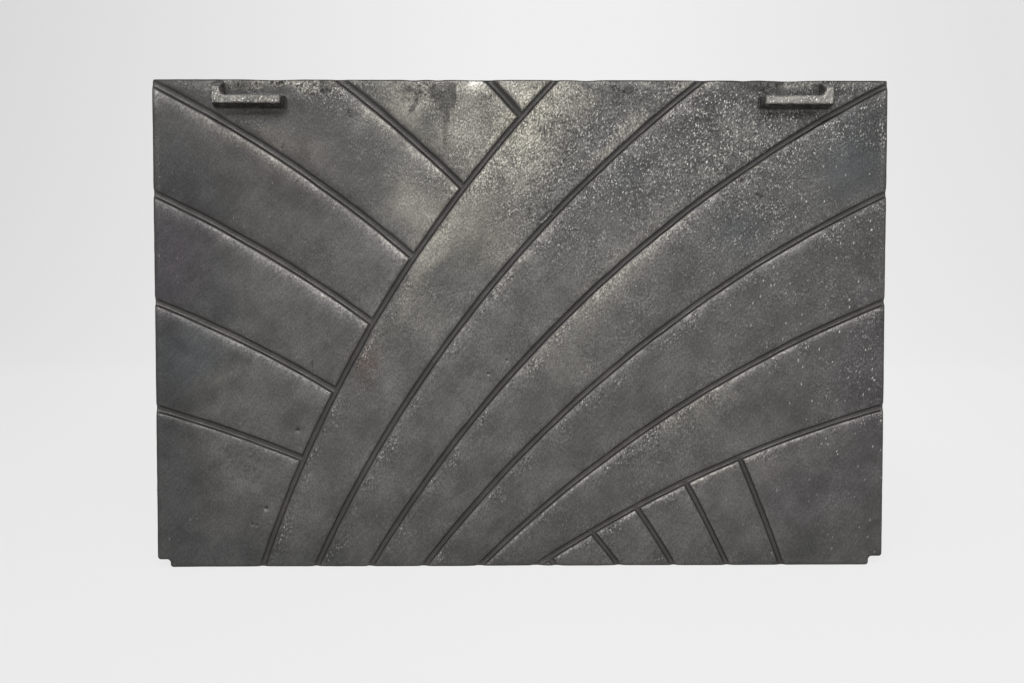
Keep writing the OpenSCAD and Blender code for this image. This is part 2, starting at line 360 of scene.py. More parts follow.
# Blow holes near the top edge, and a few pin holes, which are smaller: x, z, radius, depth
pits = (
    (-109.0, 296.5, 3.2, 0.5),
    (-56.0, 294.0, 4.0, 0.35),
    (-49.0, 297.0, 2.5, 0.5),
    (-38.0, 296.0, 3.0, 0.4),
    (-63.0, 287.0, 2.5, 0.3),
    (38.0, 296.5, 3.0, 0.35),
    (50.0, 297.0, 2.5, 0.4),
    (160.0, 297.5, 3.5, 0.6),
    (167.0, 298.0, 3.0, 0.6),
    (174.0, 297.5, 3.0, 0.5),
    (135.4, 238.6, 1.4, 1.0),
    (145.2, 230.2, 1.1, 0.6),
    (147.6, 228.4, 1.5, 0.9),
    (-157.6, 37.0, 1.3, 0.8),
    (-166.3, 27.2, 0.9, 0.4),
    (-163.5, 26.4, 0.7, 0.4),
    (-137.9, 85.4, 1.4, 0.8),
    (-20.6, 120.0, 0.8, 0.4),
    (-9.0, 128.5, 0.8, 0.3),
)

# Thin marks: a fin where the mould cracked beside a groove, and scratches. Start, end, half width,
# and height above the face, which is less than 0 for a cut
scars = (
    ((12.0, 212.3), (19.6, 218.9), 0.7, 0.9),
    ((10.8, 213.6), (18.6, 220.8), 0.65, -0.7),
    ((5.0, 217.0), (5.2, 222.6), 0.45, -0.4),
    ((14.5, 231.6), (20.6, 232.4), 0.4, -0.3),
    ((-146.6, 257.0), (-145.0, 261.0), 0.4, -0.3),
    ((-128.8, 128.2), (-128.4, 120.4), 0.45, -0.4),
)


def sink_pit(points, x, z, radius, sink, depth, soot_and_shade, lip):
    """Deepen the face round a pit. The small pin holes get painted shade, and their lower rim a
    painted highlight.
    """
    near = np.flatnonzero(np.abs(points - (x, z)).max(axis=1) < 3 * radius)
    spread = np.linalg.norm(points[near] - (x, z), axis=1) / radius
    depth[near] += sink * np.exp(-(spread**2)) * (1 + 0.5 * value_noise(points[near], 1.7, 8))
    if radius < pin_hole_r:
        soot_and_shade[near] = np.maximum(soot_and_shade[near], 0.95 * np.exp(-(spread**4)))
        from_rim = np.linalg.norm(points[near] - (x, z - radius), axis=1) / radius
        lip[near] += 0.6 * np.exp(-(from_rim**2))


def draw_scar(points, start, end, wide, high, raised, soot_and_shade, lip):
    """Raise the face along a fin, which gets a painted highlight, or lower it along a scratch,
    which is painted black as shade.
    """
    along = np.array(end) - np.array(start)
    length = np.linalg.norm(along)
    near = np.flatnonzero(np.linalg.norm(points - start - along / 2, axis=1) < length)
    away = points[near] - start
    share = np.clip(away @ along / (along @ along), 0, 1)
    spread = np.linalg.norm(away - share[:, None] * along, axis=1) / wide
    mark = np.exp(-(spread**2)) * np.sqrt(np.clip(share * 6, 0, 1) * np.clip((1 - share) * 6, 0, 1))
    raised[near] += high * mark
    if high > 0:
        lip[near] += 3 * mark
    else:
        soot_and_shade[near] = np.maximum(soot_and_shade[near], 0.8 * mark)


def face_height(points):
    """How far the face lies behind its plane, and what its finish needs to know."""
    gap = distance_to_loop(points, plate_outline)
    groove, soot_and_shade, lip, bared, clear = grooves(points)
    depth = groove + crown_drop * np.exp(-clear / crown_reach) * (1 - np.clip(groove / 2, 0, 1))
    depth += edge_rounding(gap, edge_r)
    depth += 0.10 * value_noise(points, 61, 3) + 0.07 * value_noise(points, 27, 4)
    depth += 0.035 * value_noise(points, 9, 5) + 0.02 * value_noise(points, 4.5, 6)
    raised = np.zeros(len(points))
    for root in lug_roots:
        near = np.linalg.norm(points - root.mean(axis=0), axis=1) < 40
        spread = distance_to_loop(points[near], root)
        raised[near] = np.maximum(raised[near], edge_rounding(spread, lug_fillet_r))
    for pit in pits:
        sink_pit(points, *pit, depth, soot_and_shade, lip)
    for scar in scars:
        draw_scar(points, *scar, raised, soot_and_shade, lip)
    return depth - raised, groove, soot_and_shade, lip, bared, gap


guide_step = 2
guide_spill = 12


def groove_guides():
    """Lines along each groove at the corners of its section, for the mesh to follow. They start and
    end a little outside the plate."""
    guides = []
    for (foot_x, head, radius), side in all_arcs:
        centre = arc_circle(foot_x, head, radius)
        foot_angle = math.atan2(-centre[1], foot_x - centre[0])
        head_angle = math.atan2(head[1] - centre[1], head[0] - centre[0])
        spill = guide_spill / radius
        steps = round(radius * (foot_angle - head_angle) / guide_step)
        angles = np.linspace(foot_angle + spill, head_angle - spill, steps)
        outward = np.stack((np.cos(angles), np.sin(angles)), axis=1)
        width = groove_width((centre + radius * outward) * (side, 1), side)[:, None]
        for offset in np.concatenate((-groove_half_widths[8:0:-1], groove_half_widths[:9])):
            guides.append(((centre + (radius + offset * width) * outward) * (side, 1), side))
    return guides


rim_loops = [plate_outline]
for inset in (0.12, 0.35, 0.7, 1.15):
    rim_loops.append(plate_outline + loop_normals(plate_outline) * inset)
root_loops = []
for root in lug_roots:
    root_loops += [root - loop_normals(root) * spread for spread in (0.0, 0.3, 0.7, 1.1, 1.6)]


def inside_outline(points, margin):
    """True where a point is well inside the plate's outline."""
    x, z = points[:, 0], points[:, 1]
    inside = (np.abs(x) < half_width - margin) & (z > margin) & (z < plate_height - margin)
    for sign, (wide, high) in ((-1, left_notch), (1, right_notch)):
        inside &= (x * sign < half_width - wide - margin) | (z > high + margin)
    return inside


# The loose net keeps clear of the outline, the grooves and the ledges' roots, which have closer points
net_step = 1.75
clear_of_rim = 2.4
clear_of_groove = 4.2
clear_of_root = 2.6
net = hex_net((-half_width, 0), (half_width, plate_height), net_step)
net = net[inside_outline(net, clear_of_rim)]
net = net[grooves(net)[4] > clear_of_groove]
for root in lug_roots:
    near = np.linalg.norm(net - root.mean(axis=0), axis=1) < 60
    keep = np.ones(len(net), bool)
    keep[near] = distance_to_loop(net[near], root) > clear_of_root
    net = net[keep]

# All points of the face, and the lines between them that its triangles have to keep
vertices = []
edges = []


def add_points(points):
    """Add loose points."""
    vertices.extend(map(tuple, points))


def add_line(points, closed):
    """Add a row of points and the lines between them."""
    first = len(vertices)
    add_points(points)
    edges.extend((first + k, first + k + 1) for k in range(len(points) - 1))
    if closed:
        edges.append((first + len(points) - 1, first))


def add_scar(start, end, wide):
    """Rows of points along a fin or a scratch."""
    along = np.array(end) - np.array(start)
    length = np.linalg.norm(along)
    beside = np.array((-along[1], along[0])) / length
    steps = np.linspace(0, 1, max(4, round(length / 0.7)))[:, None]
    for offset in (-1.6, -0.8, 0, 0.8, 1.6):
        add_points(np.array(start) + steps * along + offset * wide * beside)


def add_pin_hole(x, z, radius):
    """Rings of points round a pin hole."""
    for ring, count in ((0.0, 1), (0.5, 6), (1.0, 9), (1.6, 12)):
        turn = np.arange(count) * 2 * math.pi / count
        vertices.extend(zip(x + ring * radius * np.cos(turn), z + ring * radius * np.sin(turn)))


def add_guide(line, side):
    """The stretches of a groove's guide that lie inside the outline and show."""
    kept = inside_outline(line, 1.3)
    if side == -1:
        kept &= mirror_shows(line)
    turns = np.flatnonzero(np.diff(np.concatenate(([0], kept.astype(int), [0]))))
    for first, last in zip(turns[::2], turns[1::2]):
        if last - first > 1:
            add_line(line[first:last], closed=False)


for loop in rim_loops + root_loops:
    add_line(loop, closed=True)
for start, end, wide, _ in scars:
    add_scar(start, end, wide)
for x, z, radius, _ in pits:
    if radius < pin_hole_r:
        add_pin_hole(x, z, radius)
for line, side in groove_guides():
    add_guide(line, side)
add_points(net)


def triangulated(points, edges, outline_count):
    """A net of triangles through the points, inside the loop of the first few. The third result
    lists the given points that each point of the net stands for."""
    outline = [list(range(outline_count))]
    found, _, triangles, origin, _, _ = delaunay_2d_cdt(points, edges, outline, 1, 1e-4)
    return np.array([tuple(point) for point in found]), np.array(triangles), origin


def free_rim(triangles):
    """The free edges of a net, followed into one loop."""
    sides = np.concatenate([triangles[:, ends] for ends in ([0, 1], [1, 2], [2, 0])])
    pairs = {tuple(pair) for pair in sides.tolist()}
    free = {a: b for a, b in pairs if (b, a) not in pairs}
    rim = [min(free)]
    while free[rim[-1]] != rim[0]:
        rim.append(free[rim[-1]])
    return np.array(rim)


face_points, face_triangles, _ = triangulated(vertices, edges, len(plate_outline))
depth, groove, soot_and_shade, lip, bared, gap = face_height(face_points)

# The walls hang on the rim of the face: rings of points down to the rounded edge of the back
rim = free_rim(face_triangles)
rim_points = face_points[rim]
inward = loop_normals(rim_points)
thickness = back_y - face_y
straight = thickness - back_edge_r - depth[rim]
wall_rings = [(0, depth[rim] + straight * share) for share in (0.2, 0.4, 0.6, 0.8, 1.0)]
wall_rings += [(0.3 * back_edge_r, thickness - 0.3 * back_edge_r), (back_edge_r, thickness)]
positions = [np.stack((face_points[:, 0], face_y + depth, face_points[:, 1]), axis=1)]
polygons = [face_triangles]
rings = [rim]
total = len(face_points)
for inset, down in wall_rings:
    place = rim_points + inward * inset
    ring = np.stack((place[:, 0], face_y + down + 0 * place[:, 0], place[:, 1]), axis=1)
    rough = 0.10 * value_noise(ring, 3.1, 21) + 0.10 * value_noise(ring, 7, 22)
    ring[:, [0, 2]] += inward * np.maximum(0, rough)[:, None]
    positions.append(ring)
    rings.append(np.arange(total, total + len(rim)))
    total += len(rim)
for front, behind in zip(rings, rings[1:]):
    ahead = np.roll(front, -1)
    behind_ahead = np.roll(behind, -1)
    polygons.append(np.stack((ahead, front, behind), axis=1))
    polygons.append(np.stack((ahead, behind, behind_ahead), axis=1))

# The back is a coarser net inside the last ring of the walls, and hardly uneven
back_rim = rim_points + inward * back_edge_r
back_step = 6
back_net = hex_net((-half_width, 0), (half_width, plate_height), back_step)
back_net = back_net[inside_outline(back_net, back_step / 2)]
back_given = [tuple(point) for point in np.concatenate((back_rim, back_net))]
rim_edges = [(k, (k + 1) % len(rim)) for k in range(len(rim))]
back_points, back_triangles, origin = triangulated(back_given, rim_edges, len(rim))
on_rim = np.array([given[0] if given and given[0] < len(rim) else -1 for given in origin])
renumber = np.where(on_rim >= 0, rings[-1][np.maximum(on_rim, 0)], 0)
fresh = on_rim < 0
renumber[fresh] = total + np.arange(fresh.sum())
fresh_points = back_points[fresh]
swell = 0.12 * value_noise(fresh_points, 45, 23) + 0.05 * value_noise(fresh_points, 13, 24)
swell *= np.clip(distance_to_loop(fresh_points, back_rim) / 8, 0, 1)
positions.append(np.stack((fresh_points[:, 0], back_y - 0.08 + swell, fresh_points[:, 1]), axis=1))
polygons.append(renumber[back_triangles][:, ::-1])
positions = np.concatenate(positions)
polygons = np.concatenate(polygons)


# Worn places of the top edge: x, half width, how far the edge has gone
top_dips = (
    (-51.0, 4.0, 0.4),
    (-66.0, 5.0, 0.35),
    (-29.0, 8.0, 0.3),
    (40.0, 6.0, 0.45),
    (-151.0, 13.0, 0.5),
    (136.0, 5.0, 0.5),
    (162.0, 12.0, 0.6),
)


def edge_waves(points):
    """The cast edges wander inward a little, and the top edge is worn in a few places."""
    moved = points.copy()
    x, z = points[:, 0], points[:, 2]
    free_edges = (
        # axis across the edge, distance from it, way inward
        (0, half_width - x, -1),
        (0, half_width + x, 1),
        (2, plate_height - z, -1),
        (2, z, 1),
    )
    for axis, gap, way in free_edges:
        # each edge has a row of random hills of its own
        along = np.stack((points[:, 2 - axis], np.full(len(points), 500.0 * way + 90 * axis)), axis=1)
        wave = 0.12 + 0.12 * value_noise(along, 37, 31) + 0.06 * value_noise(along, 6, 32)
        if axis == 2 and way == -1:
            for middle, spread, sink in top_dips:
                wave += sink * np.exp(-(((x - middle) / spread) ** 2))
        moved[:, axis] += way * np.maximum(wave, 0) * np.clip(1 - gap / 7, 0, 1) ** 2
    return moved


positions = edge_waves(positions)


def mesh_object(name, positions, polygons):
    """A smooth mesh from points in millimetres."""
    mesh = bpy.data.meshes.new(name)
    mesh.vertices.add(len(positions))
    mesh.vertices.foreach_set("co", (np.asarray(positions, np.float32) / 1000).ravel())
    mesh.loops.add(polygons.size)
    mesh.loops.foreach_set("vertex_index", polygons.ravel().astype(np.int32))
    mesh.polygons.add(len(polygons))
    starts = np.arange(0, polygons.size, polygons.shape[1], dtype=np.int32)
    mesh.polygons.foreach_set("loop_start", starts)
    mesh.update(calc_edges=True)
    mesh.validate()
    mesh.shade_smooth()
    piece = bpy.data.objects.new(name, mesh)
    bpy.context.scene.collection.objects.link(piece)
    return piece


plate = mesh_object("fireback_casting", positions, polygons)
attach(plate, "root")
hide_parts("fireback_plate")


# ---------------------------------------------------------------------------------------------
# The plate's finish: sand-cast grey iron, blackened with graphite polish and rubbed. The polish
# lies dark in the grooves and shines softly on the panels; the sand's grain shows through where
# it has worn thin, towards the top and the right. Painted shade darkens the grooves' walls, the rim
# and the plate round the lugs, and painted highlights and glints lighten the lips, grains and top.
def add_node(tree, kind, **values):
    """A shader node with its settings and the values of its unlinked sockets."""
    node = tree.nodes.new(kind)
    for name, value in values.items():
        if name in node.bl_rna.properties:
            setattr(node, name, value)
        else:
            node.inputs[name.replace("_", " ")].default_value = value
    return node


class Finish:
    """A material whose nodes are added and joined from left to right."""

    def __init__(self, name):
        self.material = bpy.data.materials.new(name)
        self.material.use_nodes = True
        self.tree = self.material.node_tree
        self.tree.nodes.clear()
        self.place = add_node(self.tree, "ShaderNodeTexCoord").outputs["Object"]

    def feed(self, value, node, socket):
        """Put a number, a colour or another node's output into a socket."""
        if isinstance(value, tuple):
            node.inputs[socket].default_value = (*value, 1)
        elif isinstance(value, (int, float)):
            node.inputs[socket].default_value = value
        else:
            self.tree.links.new(value, node.inputs[socket])

    def noise(self, size_mm, detail=2.0, rough=0.5, place=None, output="Fac"):
        scale = 1000 / size_mm
        node = add_node(self.tree, "ShaderNodeTexNoise", Scale=scale, Detail=detail, Roughness=rough)
        self.feed(place or self.place, node, "Vector")
        return node.outputs[output]

    def ragged(self, size_mm, reach_mm):
        """The place of each point, pushed about at random so that shapes lose their smooth outline."""
        push = add_node(self.tree, "ShaderNodeVectorMath", operation="MULTIPLY_ADD")
        self.feed(self.noise(size_mm, output="Color"), push, 0)
        push.inputs[1].default_value = [reach_mm / 1000] * 3
        self.feed(self.place, push, 2)
        return push.outputs[0]

    def stretched(self, length, lean, place=None):
        """The place of each point, for marks drawn out upwards and leaning right by some degrees."""
        node = add_node(self.tree, "ShaderNodeMapping", vector_type="TEXTURE", Scale=(1, 1, length),
                        Rotation=(0, math.radians(lean), 0))
        self.feed(place or self.place, node, "Vector")
        return node.outputs["Vector"]

    def grains(self, size_mm, place):
        """Scattered grains: how far each point is from one, and a random number for each grain."""
        node = add_node(self.tree, "ShaderNodeTexVoronoi", Scale=1000 / size_mm)
        self.feed(place, node, "Vector")
        return node.outputs["Distance"], node.outputs["Color"]

    def mask(self, name, output="Fac"):
        return add_node(self.tree, "ShaderNodeAttribute", attribute_name=name).outputs[output]

    def remap(self, value, low, high, to_low=0.0, to_high=1.0, kind="SMOOTHSTEP"):
        node = add_node(self.tree, "ShaderNodeMapRange", interpolation_type=kind)
        self.feed(value, node, "Value")
        limits = {"From Min": low, "From Max": high, "To Min": to_low, "To Max": to_high}
        for socket, number in limits.items():
            node.inputs[socket].default_value = number
        return node.outputs["Result"]

    def combine(self, operation, first, second):
        node = add_node(self.tree, "ShaderNodeMath", operation=operation)
        self.feed(first, node, 0)
        self.feed(second, node, 1)
        return node.outputs[0]

    def times(self, first, second):
        return self.combine("MULTIPLY", first, second)

    def plus(self, first, second):
        return self.combine("ADD", first, second)

    def minus(self, first, second):
        return self.combine("SUBTRACT", first, second)

    def larger(self, first, second):
        return self.combine("MAXIMUM", first, second)

    def blend(self, share, under, over, way="MIX"):
        node = add_node(self.tree, "ShaderNodeMix", data_type="RGBA", blend_type=way)
        for socket, value in ((0, share), (6, under), (7, over)):
            self.feed(value, node, socket)
        return node.outputs[2]

    def close_iron(self, color, rough, height, strength):
        """Join everything to the surface: iron half covered by its polish, with a fine bump."""
        shader = add_node(self.tree, "ShaderNodeBsdfPrincipled", Metallic=0.55)
        bump = add_node(self.tree, "ShaderNodeBump", Distance=0.0004)
        output = add_node(self.tree, "ShaderNodeOutputMaterial")
        self.feed(height, bump, "Height")
        self.feed(strength, bump, "Strength")
        self.feed(color, shader, "Base Color")
        self.feed(rough, shader, "Roughness")
        self.feed(bump.outputs["Normal"], shader, "Normal")
        self.feed(shader.outputs["BSDF"], output, "Surface")
        return self.material


rubbed_tip_and_glint = (0.52, 0.505, 0.46)
black_hollows = (0.030, 0.0295, 0.029)
painted_glint = (0.55, 0.535, 0.49)
burnt_crater = (0.018, 0.017, 0.016)
dark_stain = (0.024, 0.0225, 0.021)
soot_and_shade_black = (0.0255, 0.0232, 0.0212)


def sand_relief(iron, drawn):
    """The height of the sand's print: drawn-out grains, finer grit and a slow swell."""
    from_grain, pick = iron.grains(1.15, drawn)
    tall = iron.times(iron.remap(from_grain, 0.05, 0.65, 1, 0), iron.remap(pick, 0, 1, 0.4, 1))
    grit = iron.remap(iron.noise(0.75, rough=0.6, place=drawn), 0.3, 0.7)
    swell = iron.remap(iron.noise(3.0, rough=0.6), 0.25, 0.75)
    height = iron.plus(iron.times(tall, 0.5), iron.times(grit, 0.4))
    return iron.plus(height, iron.times(swell, 0.25))


def rubbed_tone(iron, drawn, panel):
    """How light the polish is: clouds and faint strokes from rubbing, over a fine felt of sand,
    and the broken shine of the grooves' lips, rubbed and partly a painted highlight."""
    cloud = iron.noise(24, detail=5, rough=0.62, place=iron.ragged(18, 16))
    strokes = iron.noise(1.8, detail=3, rough=0.6, place=iron.stretched(8, 42))
    felt = iron.noise(0.9, detail=1, rough=0.6, place=drawn)
    broken = iron.noise(1.6, detail=3, rough=0.75, place=drawn)
    tone = iron.times(iron.remap(cloud, 0.3, 0.7, 0.78, 1.28), iron.remap(strokes, 0.3, 0.7, 0.92, 1.09))
    napped = iron.times(iron.remap(iron.mask("grain"), 0.05, 0.85, 0.30, 0.85), panel)
    nap = iron.times(iron.remap(felt, 0.28, 0.74, -0.6, 0.9), napped)
    gleam = iron.times(iron.mask("lip"), iron.remap(broken, 0.34, 0.66, 0.15, 1.85))
    return iron.times(iron.times(tone, iron.plus(nap, 1)), iron.plus(gleam, 1))


def plate_finish():
    """Sand-cast iron under graphite polish, with everything that use has done to it."""
    iron = Finish("graphite_blackened_iron")
    drawn = iron.stretched(1.8, 12, iron.ragged(1.1, 0.8))
    panel = iron.minus(1, iron.mask("soot_and_shade"))
    tone = rubbed_tone(iron, drawn, panel)
    color = iron.blend(1.0, iron.mask("polish", "Color"), tone, way="MULTIPLY")

    # The grains' tips are rubbed to the iron and lightened further as painted glints, and the hollows
    # between them stay black
    height = sand_relief(iron, drawn)
    cluster = iron.remap(iron.noise(7, rough=0.6), 0.35, 0.65, 0.55, 1.25)
    grain = iron.times(iron.mask("grain"), cluster)
    tips = iron.times(iron.remap(height, 0.52, 0.86), iron.remap(grain, 0.1, 0.6, 0.25, 1.1))
    hollow = iron.times(iron.remap(height, 0.20, 0.54, 1, 0), grain)
    color = iron.blend(iron.times(iron.times(tips, grain), 0.8), color, rubbed_tip_and_glint)
    color = iron.blend(iron.times(hollow, 0.7), color, black_hollows)

    # Single coarse grains get painted glints, and burnt-on sand has left black craters
    from_spot, pick = iron.grains(3.4, iron.stretched(2.1, 14, iron.ragged(1.3, 0.9)))
    dots = iron.times(iron.remap(from_spot, 0.06, 0.16, 1, 0), iron.remap(pick, 0.45, 0.75))
    sparkle = iron.times(dots, iron.mask("sparkle"))
    color = iron.blend(sparkle, color, painted_glint)
    from_hole, pick = iron.grains(2.6, iron.ragged(1.5, 1.5))
    crater = iron.times(iron.remap(from_hole, 0.2, 0.5, 1, 0), iron.mask("pitted"))
    crater = iron.times(crater, iron.remap(pick, 0.35, 0.6))
    color = iron.blend(crater, color, burnt_crater)

    # Stains, and the soot and painted shade, lie over everything
    blotch = iron.plus(iron.noise(3.5, detail=4, rough=0.75), iron.mask("stained"))
    stain = iron.times(iron.remap(blotch, 0.72, 1.16), panel)
    color = iron.blend(iron.times(stain, 0.72), color, dark_stain)
    color = iron.blend(iron.mask("soot_and_shade"), color, soot_and_shade_black)

    rough = iron.remap(iron.noise(12, detail=4), 0.3, 0.7, 0.36, 0.52)
    height = iron.minus(iron.plus(height, sparkle), crater)
    return iron.close_iron(color, rough, height, iron.plus(iron.times(grain, 0.85), 0.08))


def set_mask(piece, name, values):
    """One number, or one colour, on each point of a mesh."""
    values = np.asarray(values, np.float32)
    if values.ndim == 1:
        piece.data.attributes.new(name, "FLOAT", "POINT").data.foreach_set("value", values)
    else:
        values = np.concatenate((values, np.ones((len(values), 1), np.float32)), axis=1).ravel()
        piece.data.attributes.new(name, "FLOAT_COLOR", "POINT").data.foreach_set("color", values)


spots = positions[:, [0, 2]]
frayed_across = 5 * value_noise(spots, 13, 71) + 2 * value_noise(spots, 5, 72)
frayed_up = 5 * value_noise(spots, 13, 73) + 2 * value_noise(spots, 5, 74)


def patch(x, z, wide, high, tilt=0.0):
    """A soft patch of the plate with a ragged edge, 1 in its middle."""
    turn = math.radians(tilt)
    fray = min(1, (wide + high) / 30) ** 2
    across = spots[:, 0] - x + fray * frayed_across
    up = spots[:, 1] - z + fray * frayed_up
    along = (across * math.cos(turn) + up * math.sin(turn)) / wide
    aside = (up * math.cos(turn) - across * math.sin(turn)) / high
    return np.exp(-(along**2 + aside**2))


# Where the polish has worn through or has burnt, and painted shade and highlights: tint, x, z,
# half width, half height, tilt, strength
cream_wear_and_highlight = (0.26, 0.245, 0.205)
bare = (0.42, 0.40, 0.35)
rust = (0.078, 0.046, 0.040)
ash_and_shade = (0.035, 0.0345, 0.035)
slate = (0.056, 0.062, 0.066)
plum = (0.050, 0.041, 0.050)
bright_iron = (0.78, 0.76, 0.70)
patches = (
    # painted shade: the sides and foot darker, where the light falls off
    (ash_and_shade, -228, 150, 56, 240, 0, 0.75),
    (ash_and_shade, -225, 160, 24, 120, 0, 0.35),
    (ash_and_shade, 222, 285, 34, 60, 0, 0.5),
    (ash_and_shade, 240, 110, 26, 130, 0, 0.4),
    (ash_and_shade, -140, -6, 120, 34, 0, 0.5),
    (ash_and_shade, 60, -8, 200, 18, 0, 0.4),
    # worn towards the iron and, at the top middle, lightened as a painted highlight, but for one dark
    # streak at the upper left
    (cream_wear_and_highlight, -2, 268, 34, 28, 52, 0.8),
    (cream_wear_and_highlight, 6, 284, 16, 20, 0, 0.8),
    (cream_wear_and_highlight, -66, 224, 12, 21, 30, 0.45),
    (cream_wear_and_highlight, -30, 214, 24, 32, 50, 0.42),
    (cream_wear_and_highlight, -57, 190, 46, 9, 58, 0.5),
    (cream_wear_and_highlight, -68, 288, 16, 12, 0, 0.45),
    (cream_wear_and_highlight, -150, 262, 40, 9, -22, 0.3),
    (bare, -148, 298, 32, 4, 0, 0.9),
    (bare, -117, 297.5, 14, 3.5, 0, 0.6),
    (ash_and_shade, -140, 284, 40, 5, 0, 0.25),
    (bare, -24, 296, 22, 5, 0, 0.8),
    (bare, 96, 297, 30, 4, 0, 0.35),
    (bare, 168, 297, 14, 3, 0, 0.6),
    (bright_iron, 172, 297.5, 8, 2.6, 0, 0.45),
    (bare, 196, 298, 14, 3, 0, 0.3),
    (cream_wear_and_highlight, 60, 180, 62, 13, 48, 0.18),
    (cream_wear_and_highlight, 30, 150, 60, 30, 45, 0.12),
    (cream_wear_and_highlight, 124, 262, 52, 26, 20, 0.12),
    (cream_wear_and_highlight, 37, 125, 20, 10, 35, 0.08),
    (cream_wear_and_highlight, 104, 96, 30, 9, 28, 0.3),
    (cream_wear_and_highlight, 150, 60, 50, 12, 25, 0.15),
    (cream_wear_and_highlight, -178, 60, 14, 20, 10, 0.14),
    (cream_wear_and_highlight, -185, 118, 22, 5, 20, 0.2),
    # burnt and stained
    (ash_and_shade, -140, 238, 30, 16, -35, 0.3),
    (ash_and_shade, -206, 236, 14, 16, 0, 0.35),
    (rust, -97, 127, 8, 12, 0, 0.6),
    (rust, -150, 252, 50, 22, -25, 0.12),
    (plum, -214, 190, 24, 30, 0, 0.5),
    (slate, -203, 132, 24, 20, 0, 0.5),
    (slate, 64, 241, 12, 11, 0, 0.5),
    (slate, 135, 208, 16, 16, 40, 0.45),
    (slate, 210, 258, 18, 32, 0, 0.4),
    (plum, 214, 108, 16, 50, 0, 0.5),
    (plum, 173, 50, 30, 24, 0, 0.3),
    # runs and spots below the top edge
    (cream_wear_and_highlight, -58, 284, 34, 20, 0, 0.5),
    (cream_wear_and_highlight, -40, 268, 12, 16, 0, 0.4),
    (ash_and_shade, -57, 274, 9, 9, 0, 0.75),
    (bright_iron, -28, 298.5, 5, 2, 0, 0.6),
    (bare, -2, 292, 10, 5, 0, 0.35),
    (cream_wear_and_highlight, 37, 287, 12, 9, 0, 0.35),
    # dark and light places over the others; the dark ones near the top edge are painted shade
    (ash_and_shade, 190, 278, 24, 26, 0, 0.28),
    (ash_and_shade, 214, 262, 16, 36, 0, 0.35),
    (ash_and_shade, -209, 214, 16, 14, 0, 0.45),
    (ash_and_shade, -148, 189, 18, 14, 0, 0.22),
    (cream_wear_and_highlight, -55, 150, 22, 20, 0, 0.14),
    (ash_and_shade, -209, 38, 22, 24, 0, 0.3),
    (ash_and_shade, 195, 12, 30, 22, 0, 0.4),
    (ash_and_shade, -117, 286, 20, 12, 0, 0.35),
    (ash_and_shade, -24, 287, 13, 10, 0, 0.15),
    (ash_and_shade, 130, 287, 26, 11, 0, 0.35),
    (slate, 196, 248, 22, 20, 0, 0.35),
    (cream_wear_and_highlight, 60, 264, 28, 4.5, 43, 0.35),
    (cream_wear_and_highlight, -55, 262, 12, 10, 0, 0.2),
    (cream_wear_and_highlight, -24, 189, 16, 15, 40, 0.14),
    (cream_wear_and_highlight, -86, 213, 14, 14, 0, 0.1),
    (cream_wear_and_highlight, -86, 115, 16, 32, 0, 0.1),
    (cream_wear_and_highlight, -179, 102, 18, 20, 0, 0.1),
    (cream_wear_and_highlight, 130, 65, 22, 12, 25, 0.1),
)

# Dark runs and burnt spots: x, z, half width, half height, tilt, strength
stains = (
    (-65.5, 285, 1.8, 9, -28, 0.8),
    (-69, 294, 5, 3.5, 0, 0.65),
    (-51, 293, 8, 6, 0, 0.75),
    (-42.5, 292, 2.0, 9, 0, 0.85),
    (-47, 285, 6, 4, 0, 0.6),
    (-46, 276, 3.2, 7, 0, 0.6),
    (-46.5, 263, 2.4, 6, 0, 0.6),
    (-58, 276, 8, 7, 0, 0.3),
    (-119.5, 296, 4.5, 5, 0, 1.0),
    (-112, 298, 4, 3, 0, 0.8),
    (-104, 279, 1.6, 3, 0, 0.5),
    (-160, 296, 26, 3, 0, 0.35),
    (46, 294, 12, 4, 0, 0.5),
    (58, 288, 6, 8, 0, 0.45),
    (66, 294, 5, 4, 0, 0.6),
    (98, 297, 16, 3, 0, 0.45),
    (147, 296, 9, 4, 0, 0.85),
    (157, 296, 6, 4, 0, 0.95),
    (139, 298, 7, 3, 0, 0.7),
)

# Where burnt-on sand has left small craters: x, z, half width, half height, strength
cratered = (
    (-114, 297, 9, 5, 1.0),
    (-150, 296.5, 46, 5, 1.0),
    (-58, 294, 16, 6, 0.8),
    (62, 293, 16, 6, 1.0),
    (96, 297, 14, 3, 0.7),
    (154, 296, 13, 6, 1.0),
    (-178, 66, 26, 26, 0.35),
    (128, 228, 6, 6, 0.6),
    (-104, 279, 3, 4, 1.0),
)

beyond_face = np.zeros(len(positions) - len(face_points))


def whole(values):
    """Values of the face's points, with zeros for the walls and the back."""
    return np.concatenate((values, beyond_face))


soot_and_shade, lip, bared, inside = whole(soot_and_shade), whole(lip), whole(bared), whole(gap)
rightward = np.clip(spots[:, 0] / half_width, -1, 1)
rising = np.clip(spots[:, 1] / plate_height, 0, 1)
behind = np.clip((positions[:, 1] - face_y - 1.5) / 2, 0, 1)

# The polish: worn and stained in patches on the panels, as it was put on in the grooves. It is
# painted darker towards the top, along the top edge and at the upper left, as painted shade
graphite = (0.0800, 0.0775, 0.0755)
polish = graphite * (1.18 - 0.2 * rising[:, None])
for tint, x, z, wide, high, tilt, strength in patches:
    share = strength * patch(x, z, wide, high, tilt)[:, None]
    polish = polish * (1 - share) + np.array(tint) * share
darker = 0.30 * patch(-150, 262, 96, 52)[:, None]
polish *= 1 - darker - 0.16 * patch(60, 308, 260, 24)[:, None]
set_mask(plate, "lip", np.clip(lip, -0.3, 2.5))
# where the lips carry their rubbed shine and painted highlight, the polish is painted warmer
polish *= 1 - (0.0, 0.02, 0.05) * np.clip(lip, 0, 1.5)[:, None]
carved = np.clip(whole(groove) / 1.2, 0, 1)[:, None]
polish = polish * (1 - carved) + graphite * carved

